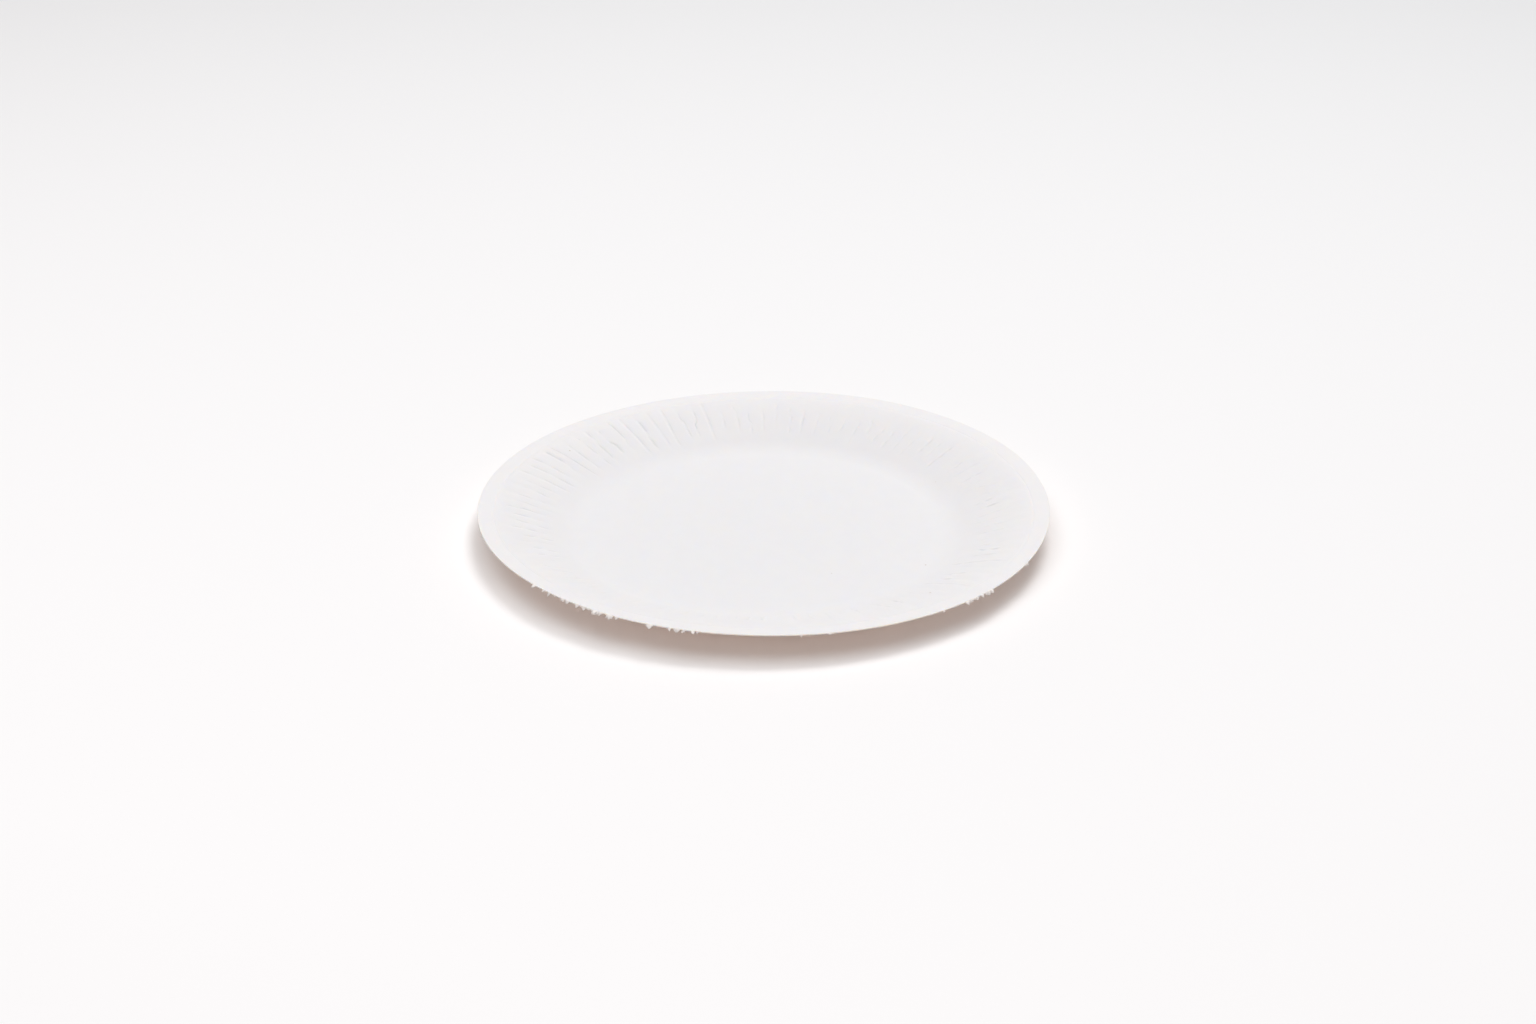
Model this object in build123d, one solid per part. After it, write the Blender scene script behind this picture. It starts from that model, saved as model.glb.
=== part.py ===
"""Pressed paper plate: one sheet of board with a flat base, a fluted wall and a narrow rim band.

The plate stands on the flat underside of its base, which lies on z = 0 with its centre at the
origin. +Z points up. All sizes are in millimetres and degrees.

The sheet is drawn as a half section, once for the underside and once for the top, one board
thickness apart, and turned about Z. The wall rises out of a wide bend and rolls over into the
rim band along a shoulder. From a circle low on the wall to the end of the shoulder the flutes
take the place of the turned surface: one Bezier patch for each flute and side, with a soft
crease down its middle that fades out at all four edges, so that it joins the smooth surface and
its neighbours without a step. The board is as thick at a crease as beside it.
"""
from build123d import *
import os
from math import comb, cos, radians, sin, sqrt, tan

# Overall sizes
PLATE_DIAMETER = 230.0
RIM_WIDTH = 43.5           # along the radius, from the edge of the flat base to the rim
BOARD_THICKNESS = 0.45

# Section of the wall and rim, measured on the underside
BEND_RADIUS = 27.0         # between the base and the wall
WALL_ANGLE = 22.5          # slope of the wall above the horizontal
SHOULDER_WIDTH = 7.0       # along the radius, from where wall and band would meet to the band
BAND_WIDTH = 7.0           # smooth rim band, measured along the radius
BAND_ANGLE = 6.0           # slope of the rim band above the horizontal

# Fine groove that the press leaves in the rim band, beside the shoulder
GROOVE_DEPTH = 0.12
GROOVE_RADIUS = 1.1        # hollow of the groove, measured on the underside
GROOVE_GAP = 0.1           # smooth band between the shoulder and the groove

# Flutes
FLUTE_COUNT = 100
FLUTE_DEPTH = 0.35         # deepest point of a crease below the wall, square to the wall
FLUTE_GAP = 3.0            # smooth wall between the bend and the flutes, along the slope

# Control heights of one crease, as shares of its depth: along the wall from the low end, and
# across one flute. Two zeros at an end keep the patch tangent to what it joins.
CREASE_ALONG = (0.0, 0.0, 0.6, 1.0, 1.0, 1.0, 0.0, 0.0)
CREASE_ACROSS = (0.0, 0.0, 0.0, 0.0, 1.0, 0.0, 0.0, 0.0, 0.0)


def along(point, angle, distance):
    """The point this far from another one, in the direction of the angle, in the half section."""
    return (point[0] + distance * cos(radians(angle)), point[1] + distance * sin(radians(angle)))


def half_width(radius):
    """Half the width of the groove where its hollow has this radius."""
    return sqrt(radius**2 - (radius - GROOVE_DEPTH) ** 2)


def section(offset):
    """Corner points (radius, height) of one side of the sheet, this far above its underside.

    The arcs of both sides share their centres and the straight runs are parallel. Along the
    shoulder, where each side follows its own corner, the thickness only nearly stays the same.
    """
    rim_radius = PLATE_DIAMETER / 2
    base_radius = rim_radius - RIM_WIDTH
    bend_centre = (base_radius, BEND_RADIUS)

    # The corner where the wall and the band would meet is found from the rim inwards, and its
    # height by going up the underside of the wall from the bend.
    wall_foot = along(bend_centre, WALL_ANGLE - 90, BEND_RADIUS)
    wall_reach = rim_radius - BAND_WIDTH - SHOULDER_WIDTH - wall_foot[0]
    corner = along(wall_foot, WALL_ANGLE, wall_reach / cos(radians(WALL_ANGLE)))
    corner_turn = (WALL_ANGLE - BAND_ANGLE) / 2
    band_foot = along(corner, BAND_ANGLE, SHOULDER_WIDTH / cos(radians(BAND_ANGLE)))
    groove_middle = along(band_foot, BAND_ANGLE, GROOVE_GAP + half_width(GROOVE_RADIUS))
    groove_centre = along(groove_middle, 90 + BAND_ANGLE, GROOVE_RADIUS - GROOVE_DEPTH)

    bend = BEND_RADIUS - offset
    groove = GROOVE_RADIUS - offset
    wall_start = along(bend_centre, WALL_ANGLE - 90, bend)
    band_start = along(band_foot, 90 + BAND_ANGLE, offset)
    groove_line = along(groove_middle, 90 + BAND_ANGLE, offset)
    to_rim = (rim_radius - band_start[0]) / cos(radians(BAND_ANGLE))
    return {
        "base_edge": (base_radius, offset),
        "bend_middle": along(bend_centre, WALL_ANGLE / 2 - 90, bend),
        "wall_start": wall_start,
        "flute_low": along(wall_start, WALL_ANGLE, FLUTE_GAP),
        "corner": along(corner, 90 + BAND_ANGLE + corner_turn, offset / cos(radians(corner_turn))),
        "band_start": band_start,
        "groove_start": along(groove_line, BAND_ANGLE, -half_width(groove)),
        "groove_bottom": along(groove_centre, BAND_ANGLE - 90, groove),
        "groove_end": along(groove_line, BAND_ANGLE, half_width(groove)),
        "rim": along(band_start, BAND_ANGLE, to_rim),
    }


def turned_line(start, end):
    """Face swept in a full turn about Z by the straight line between two corner points."""
    return Face.revolve(Edge.make_line((start[0], 0, start[1]), (end[0], 0, end[1])), 360, Axis.Z)


def turned_arc(start, middle, end):
    """Face swept in a full turn about Z by the arc through three corner points."""
    points = [(radius, 0, height) for radius, height in (start, middle, end)]
    return Face.revolve(Edge.make_three_point_arc(*points), 360, Axis.Z)


def bezier_value(controls, t):
    """Value at t of the Bezier function that has these control heights."""
    degree = len(controls) - 1
    return sum(
        value * comb(degree, i) * t**i * (1 - t) ** (degree - i)
        for i, value in enumerate(controls)
    )


def raised(points, degree):
    """Control points of the same Bezier curve, written with a higher degree.

    Each round of the loop raises the degree by one and leaves the curve as it was.
    """
    while len(points) <= degree:
        count = len(points)
        between = [
            tuple(i / count * low + (1 - i / count) * high for low, high in zip(before, point))
            for i, (before, point) in enumerate(zip(points[:-1], points[1:]), start=1)
        ]
        points = [points[0]] + between + [points[-1]]
    return points


def arc_controls(pitch):
    """Control points of the cubic that follows a unit circle's arc of this many degrees.

    The arc is centred on +X, and the two handles lie along its end tangents.
    """
    half = radians(pitch) / 2
    handle = 4 / 3 * tan(half / 2)
    handle_end = (cos(half) + handle * sin(half), sin(half) - handle * cos(half))
    return [
        (cos(half), -sin(half)),
        (handle_end[0], -handle_end[1]),
        handle_end,
        (cos(half), sin(half)),
    ]


def flute(corners):
    """Patch for one flute of one side of the sheet, centred on +X.

    Up the wall it follows the curve that leaves the wall at the flute's low end and reaches the
    band at its high end, tangent to both.
    """
    profile = [corners["flute_low"], corners["corner"], corners["band_start"]]
    profile = raised(profile, len(CREASE_ALONG) - 1)
    across = raised(arc_controls(360 / FLUTE_COUNT), len(CREASE_ACROSS) - 1)
    fullest_along = max(bezier_value(CREASE_ALONG, step / 100) for step in range(101))
    scale = FLUTE_DEPTH / (fullest_along * bezier_value(CREASE_ACROSS, 0.5))
    rows = []
    for i, ((radius, height), share_along) in enumerate(zip(profile, CREASE_ALONG)):
        slope = radians(WALL_ANGLE + (BAND_ANGLE - WALL_ANGLE) * i / (len(CREASE_ALONG) - 1))
        row = []
        for (x, y), share_across in zip(across, CREASE_ACROSS):
            depth = scale * share_along * share_across
            row.append((radius * x + depth * sin(slope), radius * y, height - depth * cos(slope)))
        rows.append(row)
    return Face.make_bezier_surface(rows)


def side(offset):
    """All faces of one side of the sheet, this far above its underside."""
    at = section(offset)
    smooth = [
        Face(Wire([Edge.make_circle(at["base_edge"][0], Plane.XY.offset(offset))])),
        turned_arc(at["base_edge"], at["bend_middle"], at["wall_start"]),
        turned_line(at["wall_start"], at["flute_low"]),
        turned_line(at["band_start"], at["groove_start"]),
        turned_arc(at["groove_start"], at["groove_bottom"], at["groove_end"]),
        turned_line(at["groove_end"], at["rim"]),
    ]
    one_flute = flute(at)
    pitch = 360 / FLUTE_COUNT
    return smooth + [one_flute.rotate(Axis.Z, index * pitch) for index in range(FLUTE_COUNT)]


def plate():
    """The whole sheet as one closed solid, with its cut edge square to the ground."""
    cut_edge = turned_line(section(0.0)["rim"], section(BOARD_THICKNESS)["rim"])
    return Solid(Shell(side(0.0) + side(BOARD_THICKNESS) + [cut_edge]))


os.makedirs("parts", exist_ok=True)
export_step(plate(), "parts/plate.step")
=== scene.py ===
"""Looks of a pressed white paper plate, standing on a pale floor under large soft lights.

The plate is one sheet of board. Its mesh is worked out here from the same section as the CAD
solid, with what a press and a cutting die leave on real board: flutes that differ in depth and
length, a rim that has warped a little, and a cut edge with torn fibre.

Sizes are in metres, unless a comment names another unit. Angles are in radians, but for those
of DEEP_SIDE, LONG_CREASES and TEARS, which are in degrees.
"""
import math
import bpy
import numpy as np
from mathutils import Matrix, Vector


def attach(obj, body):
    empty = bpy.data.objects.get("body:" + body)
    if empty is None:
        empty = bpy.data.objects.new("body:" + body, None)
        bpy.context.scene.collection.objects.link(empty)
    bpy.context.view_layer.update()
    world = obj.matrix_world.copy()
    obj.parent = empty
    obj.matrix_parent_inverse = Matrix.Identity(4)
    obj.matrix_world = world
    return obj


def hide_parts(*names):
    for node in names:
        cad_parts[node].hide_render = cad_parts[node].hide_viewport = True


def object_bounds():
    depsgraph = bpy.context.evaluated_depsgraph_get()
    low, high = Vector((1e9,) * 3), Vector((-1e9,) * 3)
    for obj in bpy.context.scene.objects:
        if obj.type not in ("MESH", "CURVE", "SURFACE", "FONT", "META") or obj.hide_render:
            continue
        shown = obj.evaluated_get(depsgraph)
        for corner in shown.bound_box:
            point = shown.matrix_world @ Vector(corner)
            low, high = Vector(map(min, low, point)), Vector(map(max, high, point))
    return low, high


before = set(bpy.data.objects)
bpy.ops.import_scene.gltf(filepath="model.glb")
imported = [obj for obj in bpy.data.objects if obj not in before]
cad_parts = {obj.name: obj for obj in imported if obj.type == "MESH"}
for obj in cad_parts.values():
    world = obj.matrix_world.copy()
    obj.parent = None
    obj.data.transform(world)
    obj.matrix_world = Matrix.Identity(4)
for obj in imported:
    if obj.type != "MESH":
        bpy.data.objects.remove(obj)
cad_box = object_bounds()
MM = 0.001

# Section of the sheet's underside, as the CAD solid has it
RIM_RADIUS = cad_box[1].x
BASE_RADIUS = 71.5 * MM
BOARD = 0.45 * MM
BEND_RADIUS = 27.0 * MM
WALL_ANGLE = math.radians(22.5)
FLUTE_GAP = 3.0 * MM           # smooth wall below the flutes
SHOULDER_WIDTH = 7.0 * MM      # from where wall and band would meet to the band
BAND_WIDTH = 7.0 * MM
BAND_ANGLE = math.radians(6.0)
GROOVE_DEPTH = 0.12 * MM
GROOVE_MIDDLE = 0.6 * MM       # from the inner edge of the rim band
GROOVE_HALF_WIDTH = 0.3 * MM

# Flutes
FLUTE_COUNT = 100
CREASE_DEPTH = 0.34 * MM
CREASE_HALF_WIDTH = 0.40 * MM
LIP = 0.40                     # height of the lip beside a crease, as a share of its depth
SWELL_DEPTH = 0.14 * MM        # how far the board sags towards each crease
DEEP_SIDE = 140                # angle about which the press bit deepest
DRIFT_LIMIT = 0.2              # furthest that a crease strays from its middle, in pitches

# Painted shade on the top, from 0 to 1, with painted highlight taken off it
DULL_EVEN = 0.2                # plain board
PAINTED_WALL_SHADE = 0.03               # painted shade added on the wall
PAINTED_BAND_HIGHLIGHT = 0.05               # painted highlight taken off on the rim band
PAINTED_CREASE_SHADE = 0.36             # painted shade added in a crease, for each CREASE_DEPTH that it is deep
PAINTED_LIP_HIGHLIGHT = 0.85                # painted highlight taken off on a lip, for each CREASE_DEPTH that it is high

# Creases that run the whole way up the wall: angle, and depth as a share of CREASE_DEPTH
LONG_CREASES = (
    (106, 0.7),
    (117, 0.75),
    (119, 0.5),
    (126, 1.0),
    (148, 1.3),
    (333, 0.5),
    (318, 0.4),
)

# Warp of the rim: two opposite quarters stand up and the other two hang down
SADDLE_LIFT = 0.8 * MM
RIPPLE = 0.08 * MM

# Places of the vertices: across one flute, in shares of its pitch, closer at the crease
ACROSS_FLUTE = np.array([-0.5, -0.3, -0.17, -0.1, -0.05, 0.0, 0.05, 0.1, 0.17, 0.3])

# Torn fibre on the cut edge: from angle, to angle, number of tufts, longest tuft
TEARS = (
    (221, 228, 7, 1.9 * MM),
    (229, 242, 24, 2.1 * MM),
    (248, 249, 3, 2.6 * MM),
    (251, 258, 9, 2.0 * MM),
    (275, 283, 5, 1.2 * MM),
    (302, 309, 5, 1.2 * MM),
    (311, 319, 16, 1.9 * MM),
    (331, 333, 2, 1.3 * MM),
    (20, 200, 14, 0.5 * MM),
)
CUT_ROUGHNESS = 0.022 * MM     # usual waver of the cut edge, in and out
FUZZ_COUNT = 3200              # loose fibres all round the cut edge
HAIRS_PER_FLAKE = 7            # fibres that stand out beside each torn flake

# Surface close up: patches, cells or fibres in a metre
FINE_CLOUDS = 900
COARSE_FELT = 520
FLECK_CELLS = 110

# Colours
# The top's colour, from full painted highlight to full painted shade; plain board lies between them
TOP_LIT = (0.824, 0.82, 0.833, 1)
TOP_SHADED = (0.662, 0.667, 0.681, 1)
FLECK = (0.60, 0.55, 0.52, 1)
UNDERSIDE = ((0.98, 0.88, 0.815, 1), (1.0, 0.91, 0.845, 1))
CUT_EDGE = (0.92, 0.88, 0.84, 1)
FIBRE = ((0.90, 0.85, 0.82, 1), (0.95, 0.91, 0.88, 1))
# Floor colour near the front and far back: painted shade darkens it towards the back and the right
GROUND_NEAR = (0.945, 0.94, 0.945, 1)
GROUND_FAR = (0.743, 0.752, 0.761, 1)
WARM_ROOM = (1.08, 1.0, 0.98, 1)

# Camera
CAMERA_ELEVATION = math.radians(25.13)
CAMERA_DISTANCE = 9            # in rim radii
CAMERA_LENS = 60.1             # in millimetres
FILM_WIDTH = 36                # in millimetres
CAMERA_AIM = (1.7 * MM, -10.6 * MM, 0)  # from the middle of the plate, level with its rim


# ------------------------------------------------------------------ the sheet's section

def along(point, angle, distance):
    """The point this far from another one, in the direction of the angle."""
    return point[0] + distance * math.cos(angle), point[1] + distance * math.sin(angle)


def section(base, bend, wall, flute, band):
    """Underside of the sheet from near the centre to the rim, one entry a ring.

    The arguments are the places of the rings on each part, as shares of it from 0 to 1. The
    fluted part is a Bezier curve with three control points: the low end of the flutes, the
    corner where wall and band would meet, and the inner edge of the band. Returns radius,
    height, slope, and place along the flutes, which is 0 at their low end and 1 at the high one.
    """
    base, bend, wall, flute, band = map(np.asarray, (base, bend, wall, flute, band))
    foot = (
        BASE_RADIUS + BEND_RADIUS * math.sin(WALL_ANGLE),
        BEND_RADIUS * (1 - math.cos(WALL_ANGLE)),
    )
    low = along(foot, WALL_ANGLE, FLUTE_GAP)
    corner_radius = RIM_RADIUS - BAND_WIDTH - SHOULDER_WIDTH
    corner = along(foot, WALL_ANGLE, (corner_radius - foot[0]) / math.cos(WALL_ANGLE))
    high = along(corner, BAND_ANGLE, SHOULDER_WIDTH / math.cos(BAND_ANGLE))
    to_rim = band * BAND_WIDTH / math.cos(BAND_ANGLE)
    groove = GROOVE_DEPTH * np.exp(-(((to_rim - GROOVE_MIDDLE) / GROOVE_HALF_WIDTH) ** 2))

    def curve(i):
        middle = corner[i] * 2 * flute * (1 - flute)
        return low[i] * (1 - flute) ** 2 + middle + high[i] * flute**2

    def pace(i):
        return (corner[i] - low[i]) * (1 - flute) + (high[i] - corner[i]) * flute

    bend_slope = WALL_ANGLE * bend
    radius = np.concatenate([
        base * BASE_RADIUS,
        BASE_RADIUS + BEND_RADIUS * np.sin(bend_slope),
        foot[0] + wall * (low[0] - foot[0]),
        curve(0),
        high[0] + to_rim * math.cos(BAND_ANGLE),
    ])
    height = np.concatenate([
        base * 0,
        BEND_RADIUS * (1 - np.cos(bend_slope)),
        foot[1] + wall * (low[1] - foot[1]),
        curve(1),
        high[1] + to_rim * math.sin(BAND_ANGLE) - groove,
    ])
    slope = np.concatenate([
        base * 0,
        bend_slope,
        wall * 0 + WALL_ANGLE,
        np.arctan2(pace(1), pace(0)),
        band * 0 + BAND_ANGLE,
    ])
    return radius, height, slope, (radius - low[0]) / (high[0] - low[0])


# ------------------------------------------------------------------ what the press leaves

def smoothstep(low, high, x):
    """0 below low, 1 above high, and 3 t^2 - 2 t^3 in between."""
    t = np.clip((x - low) / (high - low), 0.0, 1.0)
    return t * t * (3 - 2 * t)


def flute_facts():
    """How each flute differs from the next: arrays with one entry a flute.

    The flutes are deepest about the angle DEEP_SIDE. On the opposite side they are faint and
    uneven, and broken into shorter strokes. LONG_CREASES run the whole way up the wall.

    depth is in shares of CREASE_DEPTH, width in shares of CREASE_HALF_WIDTH, and shift, lean and
    step in shares of a flute's pitch. start, end and step_place are places along the flute. beat
    and phase set the strokes, and break how far a crease fades between two of them.
    """
    rng = np.random.default_rng(11)
    n = FLUTE_COUNT
    turn = np.arange(n) * 2 * np.pi / n - math.radians(DEEP_SIDE)
    bite = np.exp(1.9 * (np.cos(turn) - 1))
    faint = 1 - bite
    uneven = np.clip(rng.lognormal(-0.2 * faint, 0.25 + 0.5 * faint), 0.15, 2.2)
    facts = {
        "depth": (0.36 + 0.84 * bite) * uneven,
        "width": rng.uniform(0.75, 1.2, n),
        "start": rng.uniform(-0.02, 0.25, n),
        "end": rng.uniform(0.72, 1.0, n) - 0.28 * faint,
        "shift": rng.normal(0.0, 0.05, n),
        "lean": rng.normal(0.0, 0.12, n),
        "step": rng.normal(0.0, 0.075, n),
        "step_place": rng.uniform(0.3, 0.7, n),
        "beat": rng.uniform(6.0, 17.0, n) + 16 * faint,
        "phase": rng.uniform(0, 2 * np.pi, n),
        "break": rng.uniform(0.55, 1.0, n),
    }
    for angle, depth in LONG_CREASES:
        flute = round(angle / 360 * n)
        facts["depth"][flute] = depth
        facts["break"][flute] = 0.45
        facts["start"][flute] = -0.05
        facts["end"][flute] = 0.95
        facts["step"][flute] = 0.0
    return facts


def per_vertex():
    """For each vertex round the plate: the number of its flute, and its place across it."""
    index = np.repeat(np.arange(FLUTE_COUNT), len(ACROSS_FLUTE))
    return index, np.tile(ACROSS_FLUTE, FLUTE_COUNT)


def angles(place):
    """Angle of every vertex in radians: rings by vertices round the plate.

    The middle vertex of each flute follows its crease, which stands a little to one side, leans,
    and steps sideways once on its way up. The vertices between two flutes stay where they are.
    """
    facts = flute_facts()
    index, across = per_vertex()
    on_wall = np.clip(place, 0, 1)[:, None]
    side_step = facts["step"][index] * np.tanh((on_wall - facts["step_place"][index]) / 0.03)
    drift = facts["shift"][index] + facts["lean"][index] * (on_wall - 0.5) + side_step
    drift = np.clip(drift, -DRIFT_LIMIT, DRIFT_LIMIT)
    hold = 1 - (2 * across) ** 2
    return (index + across + drift * hold) * (2 * np.pi / FLUTE_COUNT)


def creases(radius, place, spread):
    """Depth of the creases at each point, in shares of CREASE_DEPTH: rings by vertices round.

    Across, a crease is exp(-|x / w|^1.4), where x is the distance from its line and w its half
    width, less LIP exp(-(x / w - 2)^2) for the lip on the side of the larger angle. It starts
    near the low end of its flute, ends further up, and is broken into strokes on the way. spread
    widens it, for the underside.
    """
    facts = flute_facts()
    index, across = per_vertex()
    s = place[:, None]
    away = across * radius[:, None] * (2 * np.pi / FLUTE_COUNT)
    x = away / (facts["width"][index] * spread * CREASE_HALF_WIDTH)
    start, end = facts["start"][index], facts["end"][index]
    fade = smoothstep(start - 0.04, start + 0.1, s) * (1 - smoothstep(end - 0.08, end + 0.03, s))
    stroke = smoothstep(-0.5, 0.15, np.sin(facts["beat"][index] * s + facts["phase"][index]))
    strength = facts["depth"][index] * (1 - facts["break"][index] * (1 - stroke)) * fade
    return strength * (np.exp(-np.abs(x) ** 1.4) - LIP * np.exp(-((x - 2.0) ** 2)))


def sag(place):
    """Depth of the soft hollow over each flute, in shares of SWELL_DEPTH.

    Across one pitch it is (1 + cos) / 2, deepest at the middle and nothing between two flutes.
    """
    index, across = per_vertex()
    s = place[:, None]
    fade = smoothstep(-0.05, 0.35, s) * (1 - smoothstep(0.85, 1.02, s))
    strength = 0.3 + 0.7 * flute_facts()["depth"][index]
    return strength * fade * (0.5 + 0.5 * np.cos(2 * np.pi * across))


def painted_shading(radius, crease):
    """How much painted shade the top has at each point, from 0 to 1, and DULL_EVEN where nothing is
    painted.

    Painted shade makes the wall a little darker than the base, and painted highlight makes the rim
    band a little brighter. Painted shade darkens the inside of the creases, and painted highlight
    lightens their lips.
    """
    r = radius[:, None]
    wall_foot, wall_head = (79 * MM, 90 * MM), (103 * MM, 109 * MM)
    band_edge = (107.5 * MM, 109 * MM)
    # Painted shade on the wall and painted highlight on the rim band.
    wall = smoothstep(*wall_foot, r) * (1 - smoothstep(*wall_head, r))
    band = smoothstep(*band_edge, r)
    # Painted shade inside the creases and painted highlight on their lips.
    shade = np.where(crease > 0, PAINTED_CREASE_SHADE, PAINTED_LIP_HIGHLIGHT) * crease
    return np.clip(DULL_EVEN + PAINTED_WALL_SHADE * wall + shade - PAINTED_BAND_HIGHLIGHT * band, 0, 1)


def warp(radius, angle):
    """Lift of the sheet at a radius and angle.

    There is none on the base, and it grows with the square of the distance outside it. It is a
    saddle, the sine of twice the angle, and a few weaker ripples.
    """
    out = np.clip((radius - BASE_RADIUS) / (RIM_RADIUS - BASE_RADIUS), 0, 1) ** 2
    ripple = np.sin(3 * angle + 0.6) + 0.7 * np.sin(5 * angle + 2.1) + 0.5 * np.sin(9 * angle + 4.0)
    return out * (SADDLE_LIFT * np.sin(2 * angle) + RIPPLE * ripple)


# ------------------------------------------------------------------ meshes

def new_piece(name, points, faces, material):
    """A smooth-shaded mesh object at the origin."""
    mesh = bpy.data.meshes.new(name)
    mesh.from_pydata(points.tolist(), [], faces)
    mesh.polygons.foreach_set("use_smooth", np.ones(len(mesh.polygons), bool))
    mesh.materials.append(material)
    mesh.update()
    piece = bpy.data.objects.new(name, mesh)
    bpy.context.scene.collection.objects.link(piece)
    return piece


def add_value(piece, name, values):
    """A number at each vertex of a piece, for its material to read."""
    attribute = piece.data.attributes.new(name, "FLOAT", "POINT")
    attribute.data.foreach_set("value", np.asarray(values, np.float32).ravel())


def side_points(lift, spread, **places):
    """Points of one side of the sheet, rings by vertices by three, and its angles.

    Every point is the section's point, pushed out along the sheet's normal by lift less the
    depth of the flutes, turned to its angle, and raised by the warp. Also returns the painted shade
    of the top.
    """
    radius, height, slope, place = section(**places)
    angle = angles(place)
    crease = creases(radius, place, spread)
    push = lift - CREASE_DEPTH * crease - SWELL_DEPTH * sag(place)
    r = radius[:, None] - push * np.sin(slope)[:, None]
    z = height[:, None] + push * np.cos(slope)[:, None] + warp(radius[:, None], angle)
    points = np.stack([r * np.cos(angle), r * np.sin(angle), z], axis=-1)
    return points, angle, painted_shading(radius, crease)


def edge_points(angle):
    """Rings of the cut edge from its top corner to its lower one.

    The die leaves the cut a little rough in plan, so each ring wavers by its own noise. The
    lower corner turns down by a hair, where the die pushed the board out. Each ring is given by
    how far it stands out and how far it lies above the underside.
    """
    rng = np.random.default_rng(5)
    count = len(angle)
    rings = (
        (0.0, BOARD * 0.9),
        (0.03 * MM, BOARD * 0.62),
        (0.03 * MM, BOARD * 0.25),
        (0.01 * MM, -0.03 * MM),
    )
    rough = rng.normal(0, CUT_ROUGHNESS, (len(rings), count))
    _, height, _, _ = section([], [], [], [], [1.0])
    under = height[0] + warp(RIM_RADIUS, angle)
    points = []
    for (outward, lift), noise in zip(rings, rough):
        r = RIM_RADIUS - 0.04 * MM + outward + noise
        points.append(np.stack([r * np.cos(angle), r * np.sin(angle), under + lift], axis=-1))
    return np.array(points)


def make_plate(material):
    """The sheet as one closed mesh.

    Rings run from the centre of the top, over the cut edge, and back along the underside, with a
    fan of triangles at each centre.
    """
    top, angle, painted_shade = side_points(
        lift=BOARD,
        spread=1.0,
        base=(0.08, 0.3, 0.6, 0.85, 0.97, 1.0),
        bend=np.linspace(0, 1, 9)[1:],
        wall=(0.5,),
        flute=np.linspace(0, 1, 27),
        band=(0.03, 0.06, 0.086, 0.11, 0.15, 0.22, 0.4, 0.65, 0.9, 0.985),
    )
    under, _, _ = side_points(
        lift=0.0,
        spread=1.35,
        base=(0.08, 0.6, 0.97, 1.0),
        bend=np.linspace(0, 1, 6)[1:],
        wall=(),
        flute=np.linspace(0, 1, 19),
        band=(0.05, 0.086, 0.13, 0.3, 0.65, 0.985),
    )
    edge = edge_points(angle[-1])
    rings = np.concatenate([top, edge, under[::-1]])
    count, around = rings.shape[:2]
    centres = np.array([[0, 0, top[0, 0, 2]], [0, 0, 0]])
    points = np.concatenate([rings.reshape(-1, 3), centres])
    here = np.arange(around)
    ahead = (here + 1) % around
    ring = np.arange(count - 1)[:, None] * around
    next_ring = ring + around
    quads = np.stack([ring + here, next_ring + here, next_ring + ahead, ring + ahead], axis=-1)
    last = (count - 1) * around
    fans = np.concatenate([
        np.stack([0 * here + count * around, here, ahead], axis=-1),
        np.stack([0 * here + count * around + 1, last + ahead, last + here], axis=-1),
    ])
    faces = quads.reshape(-1, 4).tolist() + fans.tolist()
    piece = new_piece("pressed_plate", points, faces, material)
    side = np.concatenate([0 * top[..., 0], 0.5 + 0 * edge[..., 0], 1 + 0 * under[..., 0]])
    cut = np.concatenate([0 * top[..., 0], 1 + 0 * edge[..., 0], 0 * under[..., 0]])
    add_value(piece, "underside", np.append(side.ravel(), (0, 1)))
    add_value(piece, "cut", np.append(cut.ravel(), (0, 0)))
    even = DULL_EVEN + 0 * np.concatenate([edge, under])[..., 0]
    painted_shade = np.concatenate([painted_shade, even])
    add_value(piece, "painted_shade", np.append(painted_shade.ravel(), (DULL_EVEN, DULL_EVEN)))
    return piece


def rim_points(angle, share):
    """Points on the cut edge, at a share of the board's thickness above its lower corner."""
    _, height, _, _ = section([], [], [], [], [1.0])
    z = height[0] + warp(RIM_RADIUS, angle) + share * BOARD
    r = RIM_RADIUS - 0.05 * MM
    return np.stack([r * np.cos(angle), r * np.sin(angle), z], axis=-1)


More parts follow.
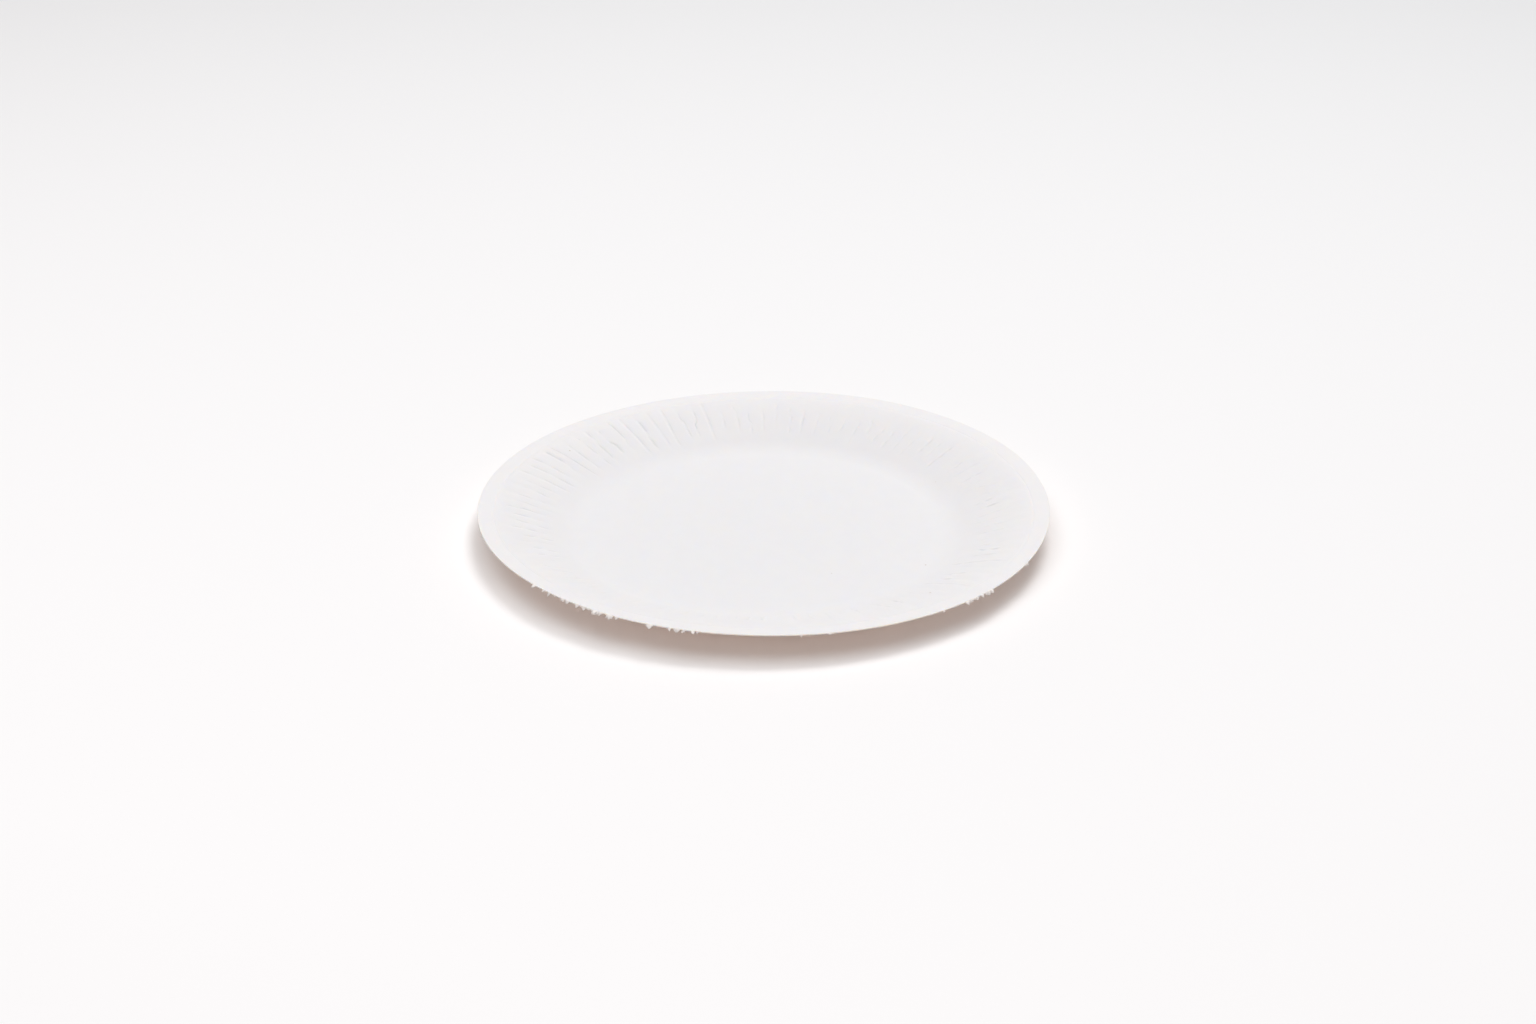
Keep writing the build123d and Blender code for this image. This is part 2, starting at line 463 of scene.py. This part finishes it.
def tubes(start, direction, bend, length, thickness, sides=3, steps=4):
    """Tapered fibres as one array of points and a list of faces.

    Fibre i runs from start along direction and curves towards bend as the square of the way
    along. Its radius falls from half the thickness to a tenth of it. Both ends are closed.
    """
    n = len(start)
    t = np.linspace(0, 1, steps)[None, :, None]
    line = start[:, None] + length[:, None, None] * (direction[:, None] * t + bend[:, None] * t**2)
    tangent = direction[:, None] + 2 * bend[:, None] * t
    tangent = tangent / np.linalg.norm(tangent, axis=-1, keepdims=True)
    first = np.cross(tangent, np.array([0.31, -0.22, 0.92]))
    first = first / np.linalg.norm(first, axis=-1, keepdims=True)
    second = np.cross(tangent, first)
    turn = (np.arange(sides) * 2 * np.pi / sides)[None, None, :, None]
    radius = 0.5 * thickness[:, None, None, None] * (1 - 0.8 * t[..., None])
    outward = first[:, :, None] * np.cos(turn) + second[:, :, None] * np.sin(turn)
    points = line[:, :, None] + radius * outward
    base = (np.arange(n) * steps * sides)[:, None, None]
    ring = (np.arange(steps - 1) * sides)[None, :, None]
    a = np.arange(sides)[None, None, :]
    b = (a + 1) % sides
    here, ahead = base + ring, base + ring + sides
    quads = np.stack([here + a, here + b, ahead + b, ahead + a], axis=-1)
    low = np.stack([base[:, 0, 0] + k for k in reversed(range(sides))], axis=-1)
    high = np.stack([base[:, 0, 0] + (steps - 1) * sides + k for k in range(sides)], axis=-1)
    return points.reshape(-1, 3), quads.reshape(-1, 4).tolist() + low.tolist() + high.tolist()


def edge_directions(angle, rng, droop, sway):
    """Unit directions out of the cut edge: this much droop, and a random lean of about sway."""
    n = len(angle)
    out = np.stack([np.cos(angle), np.sin(angle), 0 * angle], axis=-1)
    sideways = np.stack([-np.sin(angle), np.cos(angle), 0 * angle], axis=-1)
    down = np.array([0, 0, -1.0])
    lean = rng.normal(0, sway, (n, 1))
    direction = out + sideways * lean + down * (droop + rng.normal(0, 0.35, (n, 1)))
    return direction / np.linalg.norm(direction, axis=-1, keepdims=True)


def make_fuzz(material):
    """Fine loose fibres all along the cut edge."""
    rng = np.random.default_rng(23)
    n = FUZZ_COUNT
    angle = rng.uniform(0, 2 * np.pi, n)
    start = rim_points(angle, rng.uniform(0.0, 0.8, n))
    direction = edge_directions(angle, rng, 0.2, 0.9)
    length = np.clip(rng.lognormal(math.log(0.2 * MM), 0.45, n), 0.08 * MM, 0.7 * MM)
    curl = rng.normal(0, 0.45, (n, 3))
    thickness = rng.uniform(0.02 * MM, 0.04 * MM, n)
    points, faces = tubes(start, direction, curl, length, thickness)
    return new_piece("edge_fuzz", points, faces, material)


def tuft_places(rng):
    """Angle in radians and length of every tuft of torn fibre."""
    angle, length = [], []
    for first, last, count, longest in TEARS:
        angle.append(np.radians(rng.uniform(first, last, count)))
        length.append(longest * rng.uniform(0.35, 1.0, count))
    return np.concatenate(angle), np.concatenate(length)


def make_tufts(material):
    """Torn flakes of board that hang from the cut edge.

    Each is a closed flake on a grid of two angles, wide where it is rooted in the board and
    narrowing to its tip, with its surface pushed in and out by a few random waves. Fibres stand
    out beside it.
    """
    rng = np.random.default_rng(31)
    angle, length = tuft_places(rng)
    n = len(angle)
    meridians, parallels = 9, 7
    u = np.linspace(0, 2 * np.pi, meridians, endpoint=False)[None, None, :]
    v = np.linspace(0, np.pi, parallels)[None, :, None]
    wave = rng.uniform(0, 2 * np.pi, (n, 3, 1, 1))
    bumps = 1 + 0.22 * np.sin(3 * u + wave[:, 0] + 2 * v) + 0.2 * np.sin(5 * v + wave[:, 1])
    bumps = bumps + 0.12 * np.sin(2 * u - wave[:, 2])
    reach = (1 - np.cos(v)) / 2
    outline = np.sqrt(np.abs(np.sin(v))) * (1 - 0.85 * reach)
    width = rng.uniform(0.4, 0.85, n)[:, None, None] * bumps * outline
    x = width * np.cos(u)
    y = 0.3 * width * np.sin(u)
    z = reach * np.ones_like(u) * np.ones((n, 1, 1))
    axis = edge_directions(angle, rng, 0.95, 0.5)
    sideways = np.stack([-np.sin(angle), np.cos(angle), 0 * angle], axis=-1)
    sideways = sideways - axis * np.sum(sideways * axis, axis=-1, keepdims=True)
    sideways = sideways / np.linalg.norm(sideways, axis=-1, keepdims=True)
    across = np.cross(axis, sideways)
    start = rim_points(angle, rng.uniform(0.5, 0.7, n)) - axis * length[:, None] * 0.06
    size = length[:, None, None, None]
    points = start[:, None, None] + size * (
        x[..., None] * sideways[:, None, None]
        + y[..., None] * across[:, None, None]
        + z[..., None] * axis[:, None, None]
    )
    base = (np.arange(n) * meridians * parallels)[:, None, None]
    row = (np.arange(parallels - 1) * meridians)[None, :, None]
    a = np.arange(meridians)[None, None, :]
    b = (a + 1) % meridians
    here, ahead = base + row, base + row + meridians
    quads = np.stack([here + a, here + b, ahead + b, ahead + a], axis=-1)
    hair_count = n * HAIRS_PER_FLAKE
    hair_angle = np.repeat(angle, HAIRS_PER_FLAKE) + rng.normal(0, 0.0025, hair_count)
    hairs, hair_faces = tubes(
        rim_points(hair_angle, rng.uniform(0.0, 0.5, hair_count)),
        edge_directions(hair_angle, rng, 1.0, 0.8),
        rng.normal(0, 0.4, (hair_count, 3)),
        np.repeat(length, HAIRS_PER_FLAKE) * rng.uniform(0.4, 1.3, hair_count),
        rng.uniform(0.03 * MM, 0.07 * MM, hair_count),
    )
    flakes = points.reshape(-1, 3)
    faces = quads.reshape(-1, 4).tolist()
    faces += [[k + len(flakes) for k in face] for face in hair_faces]
    return new_piece("torn_tufts", np.concatenate([flakes, hairs]), faces, material)


# ------------------------------------------------------------------ materials

def principled(name):
    """A new material and its Principled BSDF."""
    material = bpy.data.materials.new(name)
    material.use_nodes = True
    return material, material.node_tree.nodes["Principled BSDF"]


def new_group(name, inputs, outputs):
    """An empty shader node group with these sockets, its input node and its output node."""
    group = bpy.data.node_groups.new(name, "ShaderNodeTree")
    for socket, kind in inputs:
        group.interface.new_socket(socket, in_out="INPUT", socket_type=kind)
    for socket, kind in outputs:
        group.interface.new_socket(socket, in_out="OUTPUT", socket_type=kind)
    return group, group.nodes.new("NodeGroupInput"), group.nodes.new("NodeGroupOutput")


def mix_colours(tree, factor, low, high):
    """Colour between two others. Each argument after the tree is a socket or a plain value."""
    node = tree.nodes.new("ShaderNodeMix")
    node.data_type = "RGBA"
    ends = [socket for socket in node.inputs if socket.type == "RGBA"]
    for socket, value in zip([node.inputs["Factor"]] + ends, (factor, low, high)):
        if isinstance(value, bpy.types.NodeSocket):
            tree.links.new(value, socket)
        else:
            socket.default_value = value
    return [socket for socket in node.outputs if socket.type == "RGBA"][0]


def remap(tree, value, from_low, from_high, to_low, to_high):
    """A value moved from one range to another, and held inside it."""
    node = tree.nodes.new("ShaderNodeMapRange")
    ends = ("From Min", "From Max", "To Min", "To Max")
    for end, number in zip(ends, (from_low, from_high, to_low, to_high)):
        node.inputs[end].default_value = number
    tree.links.new(value, node.inputs["Value"])
    return node.outputs["Result"]


def noise(tree, place, per_metre, detail):
    """Soft noise about 0.5. The cells a metre are a socket or a plain number."""
    node = tree.nodes.new("ShaderNodeTexNoise")
    node.inputs["Detail"].default_value = detail
    tree.links.new(place, node.inputs["Vector"])
    if isinstance(per_metre, bpy.types.NodeSocket):
        tree.links.new(per_metre, node.inputs["Scale"])
    else:
        node.inputs["Scale"].default_value = per_metre
    return node.outputs["Fac"]


def add_scaled(tree, first, second, factor):
    """first + second x factor."""
    node = tree.nodes.new("ShaderNodeMath")
    node.operation = "MULTIPLY_ADD"
    tree.links.new(second, node.inputs[0])
    node.inputs[1].default_value = factor
    tree.links.new(first, node.inputs[2])
    return node.outputs[0]


def paper_surface():
    """Node group: what pressed pulp looks like close up, from Object coordinates.

    Clouds and Felt are how many patches and fibres there are in a metre. Cloud is the uneven
    spread of pulp, Flecks are small darker spots in one cell of ten, and Height is the felt of
    the surface.
    """
    number = "NodeSocketFloat"
    inputs = [("Clouds", number), ("Felt", number)]
    outputs = [("Cloud", number), ("Flecks", number), ("Height", number)]
    group, given, result = new_group("paper surface", inputs, outputs)
    place = group.nodes.new("ShaderNodeTexCoord").outputs["Object"]
    clouds, felt = given.outputs["Clouds"], given.outputs["Felt"]
    fine = noise(group, place, FINE_CLOUDS, 3.0)
    cloud = add_scaled(group, noise(group, place, clouds, 3.0), fine, 0.35)
    group.links.new(remap(group, cloud, 0.45, 0.9, 0.0, 1.0), result.inputs["Cloud"])
    cells = group.nodes.new("ShaderNodeTexVoronoi")
    cells.inputs["Scale"].default_value = FLECK_CELLS
    group.links.new(place, cells.inputs["Vector"])
    spot = remap(group, cells.outputs["Distance"], 0.03, 0.05, 1.0, 0.0)
    tone = group.nodes.new("ShaderNodeSeparateColor")
    group.links.new(cells.outputs["Color"], tone.inputs["Color"])
    chosen = remap(group, tone.outputs["Red"], 0.9, 0.91, 0.0, 1.0)
    both = group.nodes.new("ShaderNodeMath")
    both.operation = "MULTIPLY"
    group.links.new(spot, both.inputs[0])
    group.links.new(chosen, both.inputs[1])
    group.links.new(both.outputs[0], result.inputs["Flecks"])
    coarse = noise(group, place, COARSE_FELT, 2.0)
    height = add_scaled(group, noise(group, place, felt, 2.0), coarse, 1.6)
    group.links.new(height, result.inputs["Height"])
    return group


def use_paper(tree, group, clouds, felt):
    """The paper surface group placed in a material, with its own patches and fibres a metre."""
    node = tree.nodes.new("ShaderNodeGroup")
    node.node_tree = group
    node.inputs["Clouds"].default_value = clouds
    node.inputs["Felt"].default_value = felt
    return node


def add_bump(tree, shader, height, distance):
    """Bump of this height in metres for a height value of 1."""
    bump = tree.nodes.new("ShaderNodeBump")
    bump.inputs["Distance"].default_value = distance
    tree.links.new(height, bump.inputs["Height"])
    tree.links.new(bump.outputs["Normal"], shader.inputs["Normal"])


def vertex_value(tree, name):
    """The number that add_value() gave the vertices under this name."""
    node = tree.nodes.new("ShaderNodeAttribute")
    node.attribute_name = name
    return node.outputs["Fac"]


def board_material(surface):
    """White top with painted shade and painted highlight, warmer uncoated underside, both faintly
    clouded, and a plain cut edge.

    Light soaks into the thin board, red a little further than blue.
    """
    material, shader = principled("white_board")
    tree = material.node_tree
    paper = use_paper(tree, surface, clouds=160, felt=2600)
    # Painted shade and painted highlight from the vertices, with the pulp's cloud added, set the
    # top's colour
    painted_shade = add_scaled(tree, vertex_value(tree, "painted_shade"), paper.outputs["Cloud"], 0.06)
    top = mix_colours(tree, painted_shade, TOP_LIT, TOP_SHADED)
    top = mix_colours(tree, paper.outputs["Flecks"], top, FLECK)
    under = mix_colours(tree, paper.outputs["Cloud"], *UNDERSIDE)
    both = mix_colours(tree, vertex_value(tree, "underside"), top, under)
    colour = mix_colours(tree, vertex_value(tree, "cut"), both, CUT_EDGE)
    tree.links.new(colour, shader.inputs["Base Color"])
    roughness = remap(tree, paper.outputs["Cloud"], 0, 1, 0.74, 0.66)
    tree.links.new(roughness, shader.inputs["Roughness"])
    add_bump(tree, shader, paper.outputs["Height"], 0.012 * MM)
    shader.inputs["Specular IOR Level"].default_value = 0.35
    shader.inputs["Subsurface Weight"].default_value = 1.0
    shader.inputs["Subsurface Radius"].default_value = (1.0, 0.88, 0.71)
    shader.inputs["Subsurface Scale"].default_value = 0.43 * MM
    return material


def fibre_material(surface):
    """Loose and torn pulp fibre: pale and dull."""
    material, shader = principled("torn_fibre")
    tree = material.node_tree
    paper = use_paper(tree, surface, clouds=900, felt=7000)
    colour = mix_colours(tree, paper.outputs["Cloud"], *FIBRE)
    tree.links.new(colour, shader.inputs["Base Color"])
    add_bump(tree, shader, paper.outputs["Height"], 0.03 * MM)
    shader.inputs["Roughness"].default_value = 0.9
    shader.inputs["Specular IOR Level"].default_value = 0.2
    return material


def floor_material():
    """Matt white, with painted shade that darkens it a little towards the back and the right."""
    material, shader = principled("white_ground")
    tree = material.node_tree
    place = tree.nodes.new("ShaderNodeSeparateXYZ")
    tree.links.new(tree.nodes.new("ShaderNodeTexCoord").outputs["Object"], place.inputs["Vector"])
    away = add_scaled(tree, place.outputs["Y"], place.outputs["X"], 0.55)
    far = remap(tree, away, -0.35, 1.15, 0, 1)
    colour = mix_colours(tree, far, GROUND_NEAR, GROUND_FAR)
    tree.links.new(colour, shader.inputs["Base Color"])
    shader.inputs["Roughness"].default_value = 1.0
    shader.inputs["Specular IOR Level"].default_value = 0.0
    return material


def make_floor():
    """A square of ground, twelve metres wide, a hair below the plate."""
    half = 6.0
    corners = np.array([[-half, -half, 0], [half, -half, 0], [half, half, 0], [-half, half, 0]])
    floor = new_piece("floor", corners, [[0, 1, 2, 3]], floor_material())
    floor.location.z = -0.02 * MM


def soft_light(name, place, size, radiance):
    """A square lamp that faces straight down and sends out this much light from every part."""
    lamp = bpy.data.lights.new(name, "AREA")
    lamp.shape = "SQUARE"
    lamp.size = size
    lamp.energy = radiance * math.pi * size**2
    light = bpy.data.objects.new(name, lamp)
    light.location = place
    bpy.context.scene.collection.objects.link(light)


def make_lights():
    """A wide soft ceiling, a smaller and stronger panel below it, and a faint warm room.

    Enough bounces are followed for the light that goes to and fro under the rim.
    """
    soft_light("ceiling", place=(-0.25, -0.4, 2.4), size=3.0, radiance=1.81)
    soft_light("panel", place=(0.56, 1.05, 2.3), size=1.0, radiance=8.25)
    world = bpy.data.worlds.new("room")
    bpy.context.scene.world = world
    world.use_nodes = True
    background = world.node_tree.nodes["Background"]
    background.inputs["Color"].default_value = WARM_ROOM
    background.inputs["Strength"].default_value = 0.19
    bpy.context.scene.cycles.max_bounces = 24
    bpy.context.scene.cycles.diffuse_bounces = 16


def make_camera():
    """Stands in front of the plate and looks down at a point a little off its centre."""
    middle = Vector((0, 0, cad_box[1].z))
    back, up = math.cos(CAMERA_ELEVATION), math.sin(CAMERA_ELEVATION)
    camera = bpy.data.objects.new("camera", bpy.data.cameras.new("camera"))
    camera.location = middle + CAMERA_DISTANCE * RIM_RADIUS * Vector((0, -back, up))
    aim = middle + Vector(CAMERA_AIM)
    camera.rotation_euler = (aim - camera.location).to_track_quat("-Z", "Y").to_euler()
    camera.data.sensor_width = FILM_WIDTH
    camera.data.lens = CAMERA_LENS
    bpy.context.scene.collection.objects.link(camera)
    bpy.context.scene.camera = camera


def make_object():
    """The plate in place of the CAD node's looks, and the fibre on its cut edge."""
    surface = paper_surface()
    board, fibre = board_material(surface), fibre_material(surface)
    plate = make_plate(board)
    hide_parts("plate")
    for piece in (plate, make_fuzz(fibre), make_tufts(fibre)):
        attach(piece, "root")


make_camera()
make_object()
make_floor()
make_lights()
bpy.context.scene.view_settings.view_transform = "Standard"
